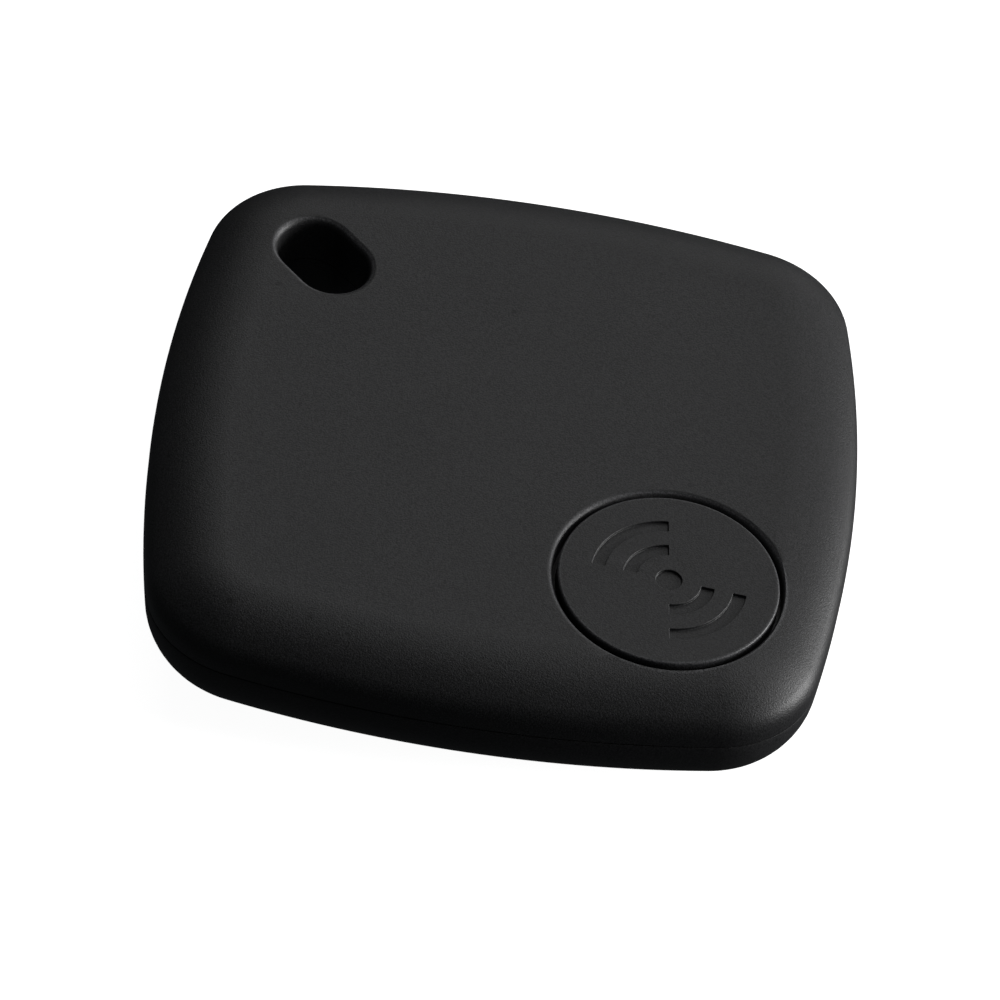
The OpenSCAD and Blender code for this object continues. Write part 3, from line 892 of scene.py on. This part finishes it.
@dataclass
class Shells:
    """The two halves of the case. Sizes are in millimetres."""

    body: BodyForm
    slot: Slot
    opening: float = 6.1
    opening_lip: float = 0.45
    button_edge: float = 9.7
    collar: float = 6.85
    collar_wall: float = 0.75
    collar_foot: float = 5.35
    lip: float = 0.7
    lip_gap: float = 0.08
    lip_height: float = 1.0
    peg: float = 0.7
    peg_gap: float = 0.05
    peg_edge: float = 4.2
    peg_along: float = 3.0
    peg_end: float = 2.2
    boss: float = 1.5
    boss_step: float = 0.4
    boss_top: float = 3.9
    board_under: float = 1.25
    board_top: float = 1.75
    stake: float = 12.9
    stake_radius: float = 0.6
    stake_foot: float = 1.0
    stake_head: float = 0.95
    stake_head_height: float = 0.35
    stake_lap: float = 0.1
    sounder_recess: float = 9.25
    sounder_floor: float = 0.6
    cell_shift: float = 0.6

    def button_place(self) -> tuple[float, float]:
        """X and Y of the button's axis."""
        place = self.body.width / 2 - self.button_edge
        return (place, -place)

    def peg_places(self) -> list[tuple[float, float]]:
        """X and Y of the pegs."""
        reach = self.body.width / 2 - self.peg_edge
        first, second = (reach, self.peg_along), (self.peg_along, reach)
        return [first, second, (-first[0], -first[1]), (-second[0], -second[1])]

    def slot_cut(self, up: bool) -> bpy.types.Object:
        """The slot as a cut with a rounded rim.

        Args:
            up: True for the rim in the button face, False for the rim in the resting face.

        Returns:
            A closed solid.
        """
        rim = Flare(self.slot.lip)
        cut = self.slot.prism(rim.spare, -rim.top, rim.profile(self.body.height), self.body)
        return Bench.upside_down(cut, self.body.height / 2) if up else cut

    def front(self) -> bpy.types.Object:
        """The half with the button face.

        Returns:
            The finished piece, in metres.
        """
        body = self.body
        shell = body.upper(0.0, body.seam)
        self.break_seam_edge(shell, body.seam)
        Bench.join(shell, body.upper(body.wall, body.seam - 0.5), Join.CUT)
        inner = body.wall + self.lip_gap + self.lip
        step = body.ring(body.wall - LAP, inner, body.seam + 0.02, body.seam + self.lip)
        Bench.join(shell, step, Join.ADD)
        lip_end = body.seam - self.lip_height
        lip = body.ring(body.wall + self.lip_gap, inner, lip_end, body.seam + self.lip * 0.7)
        Bench.join(shell, lip, Join.ADD)
        height = body.ceiling - body.seam + LAP
        Bench.join(shell, self.slot.prism(self.slot.wall, body.seam, [(0.0, height)], body), Join.ADD)
        for place in self.peg_places():
            Bench.join(shell, self.rounded_peg(place), Join.ADD)
        at = self.button_place()
        collar = Bench.cylinder(self.collar + self.collar_wall, self.collar_foot, body.ceiling + LAP, at)
        Bench.join(shell, collar, Join.ADD)
        Bench.join(shell, Bench.cylinder(self.collar, body.seam - 1.0, body.ceiling, at), Join.CUT)
        Bench.join(shell, self.slot_cut(True), Join.CUT)
        Bench.join(shell, self.opening_cut(at), Join.CUT)
        return Bench.deliver(shell, "front_half")

    def rear(self) -> bpy.types.Object:
        """The half that the board and the cell sit in.

        Returns:
            The finished piece, in metres.
        """
        body = self.body
        high = body.seam - body.seam_gap
        shell = body.lower(0.0, high)
        self.break_seam_edge(shell, high)
        Bench.join(shell, body.lower(body.wall, high + 0.5), Join.CUT)
        root = body.wall - LAP
        height = high - body.wall + LAP
        Bench.join(shell, self.slot.prism(self.slot.wall, root, [(0.0, height)], body), Join.ADD)
        for place in self.peg_places():
            boss = Bench.cylinder(self.boss, root, self.boss_top, place, 64)
            foot = Bench.cylinder(self.boss + self.boss_step, root, self.board_under, place, 64)
            socket = Bench.cylinder(self.peg + self.peg_gap, self.board_top, body.height, place, 48)
            Bench.join(shell, boss, Join.ADD)
            Bench.join(shell, foot, Join.ADD)
            Bench.join(shell, socket, Join.CUT)
        for way in (1.0, -1.0):
            self.melted_stake(shell, (way * self.stake, way * self.stake))
        cell_axis = (-self.cell_shift, self.cell_shift)
        recess = Bench.cylinder(self.sounder_recess, self.sounder_floor, self.board_under, cell_axis, 128)
        Bench.join(shell, recess, Join.CUT)
        Bench.join(shell, self.slot_cut(False), Join.CUT)
        return Bench.deliver(shell, "rear_half")

    def break_seam_edge(self, shell: bpy.types.Object, z: float) -> None:
        """Takes the sharp edge off a shell where it meets the other one.

        Args:
            shell: The shell.
            z: Height of the edge.
        """
        Bench.activate(shell)
        bpy.ops.object.mode_set(mode="EDIT")
        Bench.pick_edges(shell, lambda edge: all(abs(v.co.z - z) < 0.001 for v in edge.verts))
        bpy.ops.mesh.bevel(offset=0.05, segments=2, affect="EDGES")
        bpy.ops.object.mode_set(mode="OBJECT")

    def rounded_peg(self, at: Point) -> bpy.types.Object:
        """A peg with a rounded end.

        Args:
            at: X and Y of its axis.

        Returns:
            A closed solid.
        """
        peg = Bench.cylinder(self.peg, self.peg_end, self.body.ceiling + LAP, at, 48)
        Bench.activate(peg)
        bpy.ops.object.mode_set(mode="EDIT")
        Bench.pick_edges(peg, lambda edge: all(abs(v.co.z - self.peg_end) < 0.001 for v in edge.verts))
        bpy.ops.mesh.bevel(offset=0.3, segments=3, affect="EDGES")
        bpy.ops.object.mode_set(mode="OBJECT")
        return peg

    def melted_stake(self, shell: bpy.types.Object, at: Point) -> None:
        """Adds a stake whose end is melted into a low dome over the board.

        Args:
            shell: The shell that it stands on.
            at: X and Y of its axis.
        """
        root, top = self.body.wall - LAP, self.board_top + self.stake_head_height
        shank = Bench.cylinder(self.stake_radius, root, self.board_top + self.stake_lap, at, 48)
        Bench.join(shell, shank, Join.ADD)
        Bench.join(shell, Bench.cylinder(self.stake_foot, root, self.board_under, at, 48), Join.ADD)
        head = Bench.cylinder(self.stake_head, self.board_top, top, at, 48)
        Bench.activate(head)
        bpy.ops.object.mode_set(mode="EDIT")
        Bench.pick_edges(head, lambda edge: all(abs(v.co.z - top) < 0.001 for v in edge.verts))
        bpy.ops.mesh.bevel(offset=0.3, segments=4, affect="EDGES")
        bpy.ops.object.mode_set(mode="OBJECT")
        Bench.join(shell, head, Join.ADD)

    def opening_cut(self, at: Point) -> bpy.types.Object:
        """The button's opening as a cut with a rounded rim.

        Args:
            at: X and Y of its axis.

        Returns:
            A closed solid.
        """
        rim = Flare(self.opening_lip)
        start = (at[0] + self.opening + rim.spare, at[1])
        face = Bench.spun_outline(start, [(at, 2 * math.pi, 144)], -rim.top)
        return Bench.upside_down(Bench.loft(face, rim.profile(2.2)), self.body.height / 2)


@dataclass
class Button:
    """The push button, with a dot between two pairs of arcs sunk in its face. Sizes are in millimetres."""

    body: BodyForm
    radius: float = 5.9
    edge: float = 0.12
    flange: float = 6.6
    flange_low: float = 6.0
    flange_high: float = 6.45
    skirt: float = 4.9
    nub: float = 1.2
    nub_low: float = 5.23
    groove: float = 0.7
    groove_depth: float = 0.15
    arcs: tuple[float, float] = (2.1, 3.8)
    half_angle: float = 40.0

    def build(self, at: Point) -> bpy.types.Object:
        """Models the button.

        Args:
            at: X and Y of its axis.

        Returns:
            The finished piece, in metres.
        """
        top = self.body.height
        cap = Bench.cylinder(self.radius, self.flange_low, top, at, 144)
        Bench.activate(cap)
        bpy.ops.object.mode_set(mode="EDIT")
        Bench.pick_edges(cap, lambda edge: all(abs(v.co.z - top) < 0.001 for v in edge.verts))
        bpy.ops.mesh.bevel(offset=self.edge, segments=4, affect="EDGES")
        bpy.ops.object.mode_set(mode="OBJECT")
        Bench.join(cap, Bench.cylinder(self.flange, self.flange_low, self.flange_high, at, 144), Join.ADD)
        hollow = Bench.cylinder(self.skirt, self.flange_low - 1.0, self.body.ceiling, at, 96)
        Bench.join(cap, hollow, Join.CUT)
        Bench.join(cap, Bench.cylinder(self.nub, self.nub_low, self.body.ceiling + LAP, at, 64), Join.ADD)
        low = top - self.groove_depth
        Bench.join(cap, Bench.cylinder(self.groove, low, top + 0.5, at, 48), Join.CUT)
        for turn in (-45.0, 135.0):
            for radius in self.arcs:
                Bench.join(cap, self.groove_cut(at, radius, turn, low), Join.CUT)
        Bench.soften(cap, 0.04, 60.0, 3)
        return Bench.deliver(cap, "push_button")

    def groove_cut(self, at: Point, radius: float, turn: float, low: float) -> bpy.types.Object:
        """One arc of the symbol as a solid to cut.

        Args:
            at: X and Y of the button's axis.
            radius: The arc's middle radius.
            turn: In degrees, the direction of the arc's middle.
            low: Height of the groove's floor.

        Returns:
            A closed solid.
        """
        first = math.radians(turn - self.half_angle)
        angle = math.radians(2 * self.half_angle)
        start = Vector((math.cos(first), math.sin(first)))
        end = Vector((math.cos(first + angle), math.sin(first + angle)))
        centre = Vector(at)
        inner, outer = radius - self.groove / 2, radius + self.groove / 2
        turns = [
            (centre, angle, 40),
            (centre + end * inner, 0.0, 1),
            (centre, -angle, 32),
        ]
        return Bench.loft(Bench.spun_outline(centre + start * outer, turns, low), [(0.0, 1.0)])


# ---------------------------------------------------------------- the switch's dome


@dataclass
class SnapDome:
    """The steel dome inside the switch, which the plunger presses flat. Sizes are in millimetres."""

    radius: float = 1.75
    rise: float = 0.4
    sheet: float = 0.1
    foot: float = 2.2
    rim: float = 0.05
    pressed: float = 0.48
    crown: float = 0.15
    sides: int = 24
    rings: int = 10

    def cap(self, at: tuple[float, float], radius: float, start: float, extra: float) -> bpy.types.Object:
        """A solid under a part of a sphere.

        Args:
            at: X and Y of its axis.
            radius: Radius of its foot.
            start: How far below the dome's foot it begins.
            extra: How much larger than the dome's inner sphere its own is.

        Returns:
            The solid.
        """
        ball = (self.radius**2 + self.rise**2) / (2 * self.rise)
        centre = Vector(at)
        turns = [(centre, math.pi, self.sides), (centre, math.pi, self.sides)]
        profile = []
        for i in range(self.rings + 1):
            reach = radius - (radius - self.crown) * i / self.rings
            height = math.sqrt((ball + extra) ** 2 - reach**2) - ball + self.rise
            profile.append((radius - reach, height + start))
        outline = Bench.spun_outline(centre + Vector((radius, 0.0)), turns, self.foot - start)
        return Bench.loft(outline, profile)

    def build(self, at: tuple[float, float]) -> bpy.types.Object:
        """Builds the dome.

        Args:
            at: X and Y of the button's axis.

        Returns:
            The finished dome.
        """
        dome = self.cap(at, self.radius, 0.0, self.sheet)
        Bench.join(dome, self.cap(at, self.radius - self.rim, 0.1, 0.0), Join.CUT)
        return Bench.deliver(dome, "snap_dome", 40.0)

    def soften(self, dome: bpy.types.Object, at: tuple[float, float]) -> None:
        """Gives the dome a mesh of its own.

        Args:
            dome: The dome, with its finish.
            at: Not used.
        """
        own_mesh(dome)


# ---------------------------------------------------------------- dressing


Finish = MouldedPlastic | SheetMetal | BoardLaminate | PressedPowder


@dataclass
class Dressing:
    """Gives every node and piece its finish. Sizes are in millimetres."""

    shells: Shells
    button: Button
    steel: SheetMetal = SheetMetal("plated_steel", (0.72, 0.71, 0.7), 0.32, grain=0.3)

    def case_finish(self) -> MouldedPlastic:
        """The shells' black plastic, with a painted highlight round the button's opening and the slot.

        Returns:
            The finish.
        """
        shells, slot = self.shells, self.shells.slot
        # Painted highlight: a thin lightened band just outside the opening's and the slot's edges.
        beyond, highlight_width = 0.2, 0.11
        opening = HighlightRim(*shells.button_place(), shells.opening + beyond, highlight_width)
        run = slot.length - slot.width
        loop = HighlightRim(*slot.middle(shells.body), slot.width / 2 + beyond, highlight_width, run=run, turn=-45.0)
        return MouldedPlastic(
            "case_plastic",
            (0.02, 0.02, 0.021),
            roughness=0.46,
            grain=0.09,
            grain_depth=0.02,
            mottle=0.75,
            specks=True,
            highlight_rims=(opening, loop),
        )

    def button_finish(self) -> MouldedPlastic:
        """The button's plastic, with a painted highlight round its edge.

        Returns:
            The finish.
        """
        # Painted highlight: a lightened band just inside the cap's edge.
        edge = HighlightRim(*self.shells.button_place(), self.button.radius - 0.05, 0.14)
        return MouldedPlastic(
            "button_plastic",
            (0.019, 0.019, 0.02),
            roughness=0.46,
            grain=0.09,
            grain_depth=0.018,
            mottle=0.7,
            highlight_rims=(edge,),
        )

    def inner_finishes(self) -> dict[str, Finish]:
        """The finish of each CAD node that stays as it is.

        Returns:
            Finishes by node name.
        """
        steel = self.steel
        cell = SheetMetal("cell_steel", (0.74, 0.74, 0.74), 0.26, brushed=(1.0, 9.0, 1.0), grain=0.6)
        gold = SheetMetal("gold_plate", (0.83, 0.6, 0.25), 0.3, brushed=(1.0, 1.0, 1.0))
        solder = SheetMetal("solder", (0.66, 0.67, 0.68), 0.22, brushed=(1.0, 1.0, 1.0), grain=0.3)
        resin = MouldedPlastic("chip_resin", (0.018, 0.018, 0.019), 0.55, grain=0.05, grain_depth=0.002)
        lid = SheetMetal("crystal_lid", (0.7, 0.68, 0.64), 0.28, brushed=(1.0, 1.0, 1.0), grain=0.2)
        return {
            "button_retainer": MouldedPlastic("ring_plastic", (0.05, 0.05, 0.052), 0.45),
            "circuit_board": BoardLaminate("solder_mask", (0.008, 0.075, 0.03), (0.03, 0.16, 0.06)),
            "antenna_trace": SheetMetal("track_copper", (0.5, 0.55, 0.18), 0.35, brushed=(1.0, 1.0, 1.0)),
            "board_pads": gold,
            "radio_chip": resin,
            "driver_transistor": resin,
            "main_crystal": lid,
            "clock_crystal": lid,
            "capacitors": PressedPowder("dielectric", (0.42, 0.27, 0.14), 0.45),
            "resistors": PressedPowder("resistor_film", (0.035, 0.035, 0.045), 0.4),
            "boost_coil": PressedPowder("ferrite", (0.09, 0.09, 0.095), 0.6),
            "negative_contact": gold,
            "battery_clip": steel,
            "cell_can": cell,
            "cell_cap": cell,
            "cell_seal": MouldedPlastic("seal_nylon", (0.09, 0.09, 0.1), 0.4),
            "cell_cathode": PressedPowder("cathode_powder", (0.03, 0.03, 0.03), 0.85),
            "cell_separator": PressedPowder("separator_felt", (0.8, 0.8, 0.78), 0.9, grain=0.08),
            "cell_lithium": SheetMetal("lithium", (0.55, 0.55, 0.57), 0.5, tarnish=0.3),
            "sounder_tape": PressedPowder("tape", (0.75, 0.72, 0.62), 0.6),
            "sounder_plate": SheetMetal("sounder_brass", (0.74, 0.52, 0.2), 0.28, brushed=(1.0, 10.0, 1.0)),
            "sounder_ceramic": PressedPowder("piezo_ceramic", (0.66, 0.62, 0.52), 0.65),
            "sounder_electrode": SheetMetal("fired_silver", (0.8, 0.8, 0.8), 0.45, brushed=(1.0, 1.0, 1.0)),
            "red_wire": MouldedPlastic("red_insulation", (0.45, 0.012, 0.01), 0.35),
            "black_wire": MouldedPlastic("black_insulation", (0.012, 0.012, 0.012), 0.35),
            "wire_joints": solder,
            "switch_housing": MouldedPlastic("switch_plastic", (0.02, 0.02, 0.02), 0.5, grain=0.06),
            "switch_terminals": steel,
            "switch_plunger": MouldedPlastic("plunger_plastic", (0.75, 0.7, 0.58), 0.4),
            "switch_cover": steel,
        }

    def dress_nodes(self) -> None:
        """Puts its finish on each CAD node that stays."""
        made: dict[str, bpy.types.Material] = {}
        for node, finish in self.inner_finishes().items():
            if finish.name not in made:
                made[finish.name] = finish.material()
            mesh_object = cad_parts[node]
            for place in mesh_object.material_slots:
                place.material = made[finish.name]
            log.info("dressed %s in %s", node, finish.name)

    @staticmethod
    def dress_piece(
        piece: bpy.types.Object, finish: bpy.types.Material, body: str, record_slot: str, node: str
    ) -> None:
        """Finishes a new piece and puts it in its place in the assembly.

        Args:
            piece: The piece.
            finish: Its material.
            body: The body that it rides on.
            record_slot: Not used.
            node: The CAD node that it stands for.
        """
        piece.data.materials.clear()
        piece.data.materials.append(finish)
        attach(piece, body)
        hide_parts(node)
        log.info("built %s for %s: %d faces", piece.name, node, len(piece.data.polygons))


# ---------------------------------------------------------------- studio


@dataclass
class Studio:
    """The floor, the lights and the camera. Lengths are in metres."""

    azimuth: float = -1.34
    elevation: float = 46.81
    roll: float = 9.47
    distance: float = 0.3487
    focal: float = 232.5
    slide: tuple[float, float] = (0.00017, 0.00138)
    middle: float = 0.00375
    reach: float = 0.8

    def camera(self) -> None:
        """Adds the camera."""
        a, e, r = (math.radians(v) for v in (self.azimuth, self.elevation, self.roll))
        back = Vector((math.sin(a) * math.cos(e), -math.cos(a) * math.cos(e), math.sin(e)))
        right = Vector((math.cos(a), math.sin(a), 0.0))
        up = back.cross(right)
        tilted_right = right * math.cos(r) + up * math.sin(r)
        tilted_up = up * math.cos(r) - right * math.sin(r)
        data = bpy.data.cameras.new("camera")
        data.sensor_width = 36.0
        data.lens = self.focal
        data.clip_start = 0.01
        data.clip_end = 20.0
        camera = bpy.data.objects.new("camera", data)
        bpy.context.collection.objects.link(camera)
        place = Vector((0.0, 0.0, self.middle)) + back * self.distance
        place -= tilted_right * self.slide[0] + tilted_up * self.slide[1]
        turn = Matrix((tilted_right, tilted_up, back)).transposed().to_4x4()
        camera.matrix_world = Matrix.Translation(place) @ turn
        bpy.context.scene.camera = camera

    def floor(self) -> None:
        """Adds the pale floor."""
        Bench.clear_selection()
        bpy.ops.mesh.primitive_plane_add(size=6.0, location=(0.0, 0.0, -0.00002))
        floor = bpy.context.object
        floor.name = "floor"
        graph = Graph("pale_floor")
        graph.link(
            graph.ramp(graph.noise(60.0), 0.3, 0.7, (0.93, 0.93, 0.93), (0.95, 0.95, 0.95)),
            graph.shader.inputs["Base Color"],
        )
        graph.shader.inputs["Roughness"].default_value = 0.9
        graph.shader.inputs["Specular IOR Level"].default_value = 0.1
        graph.shader.inputs["Emission Color"].default_value = (1.0, 1.0, 1.0, 1.0)
        graph.shader.inputs["Emission Strength"].default_value = 0.96
        floor.data.materials.append(graph.material)
        floor.visible_diffuse = False
        floor.visible_glossy = False

    def light(self, name: str, side: float, height: float, size: tuple[float, float], power: float) -> None:
        """Adds a rectangular soft light that faces the object.

        Args:
            name: Its name.
            side: In degrees, where it stands, turning from +X towards +Y.
            height: In degrees, how high it stands.
            size: Its width and height.
            power: Its power in watts.
        """
        a, e = math.radians(side), math.radians(height)
        place = Vector((math.cos(a) * math.cos(e), math.sin(a) * math.cos(e), math.sin(e))) * self.reach
        data = bpy.data.lights.new(name, "AREA")
        data.shape = "RECTANGLE"
        data.size, data.size_y = size
        data.energy = power
        lamp = bpy.data.objects.new(name, data)
        bpy.context.collection.objects.link(lamp)
        lamp.location = place
        lamp.rotation_euler = (Vector((0.0, 0.0, 0.004)) - place).to_track_quat("-Z", "Y").to_euler()

    def surroundings(self) -> None:
        """Makes what lies beyond the floor look pale and shine only faintly on the object."""
        world = bpy.data.worlds.new("surroundings")
        bpy.context.scene.world = world
        world.use_nodes = True
        tree = world.node_tree
        shine = tree.nodes["Background"]
        shine.inputs["Color"].default_value = (0.9, 0.95, 1.0, 1.0)
        shine.inputs["Strength"].default_value = 0.03
        seen = tree.nodes.new("ShaderNodeBackground")
        seen.inputs["Color"].default_value = (1.0, 1.0, 1.0, 1.0)
        seen.inputs["Strength"].default_value = 1.0
        mix = tree.nodes.new("ShaderNodeMixShader")
        path = tree.nodes.new("ShaderNodeLightPath")
        tree.links.new(path.outputs["Is Camera Ray"], mix.inputs[0])
        tree.links.new(shine.outputs[0], mix.inputs[1])
        tree.links.new(seen.outputs[0], mix.inputs[2])
        tree.links.new(mix.outputs[0], tree.nodes["World Output"].inputs["Surface"])

    def build(self) -> None:
        """Sets up everything round the object."""
        self.camera()
        self.floor()
        self.surroundings()
        self.light("right", 10.0, 12.0, (0.5, 0.3), 7.0)
        self.light("right_high", 8.0, 42.0, (0.4, 0.3), 0.43)
        self.light("high", 48.0, 62.0, (0.4, 0.4), 0.75)
        self.light("back", 98.0, 36.0, (0.5, 0.35), 0.48)
        self.light("back_low", 70.0, 12.0, (0.4, 0.25), 0.24)
        bpy.context.scene.view_settings.view_transform = "Standard"


def main() -> None:
    """Builds the studio, the case, the button and their finishes."""
    logging.basicConfig(level=logging.INFO, format="%(name)s: %(message)s")
    Bench.clear_selection()
    Studio().build()
    body = BodyForm()
    shells = Shells(body, Slot())
    button = Button(body)
    dressing = Dressing(shells, button)
    case = dressing.case_finish().material()
    dressing.dress_piece(shells.front(), case, "front", "shell_plastic", "front_shell")
    dressing.dress_piece(shells.rear(), case, "base", "shell_plastic", "rear_cover")
    cap = button.build(shells.button_place())
    dressing.dress_piece(cap, dressing.button_finish().material(), "button", "button_plastic", "button_cap")
    snap = SnapDome()
    dome = snap.build(shells.button_place())
    dressing.dress_piece(dome, dressing.steel.material(), "base", "spring_steel", "switch_dome")
    snap.soften(dome, shells.button_place())
    dressing.dress_nodes()
    Bench.clear_selection()


if __name__ == "__main__":
    main()
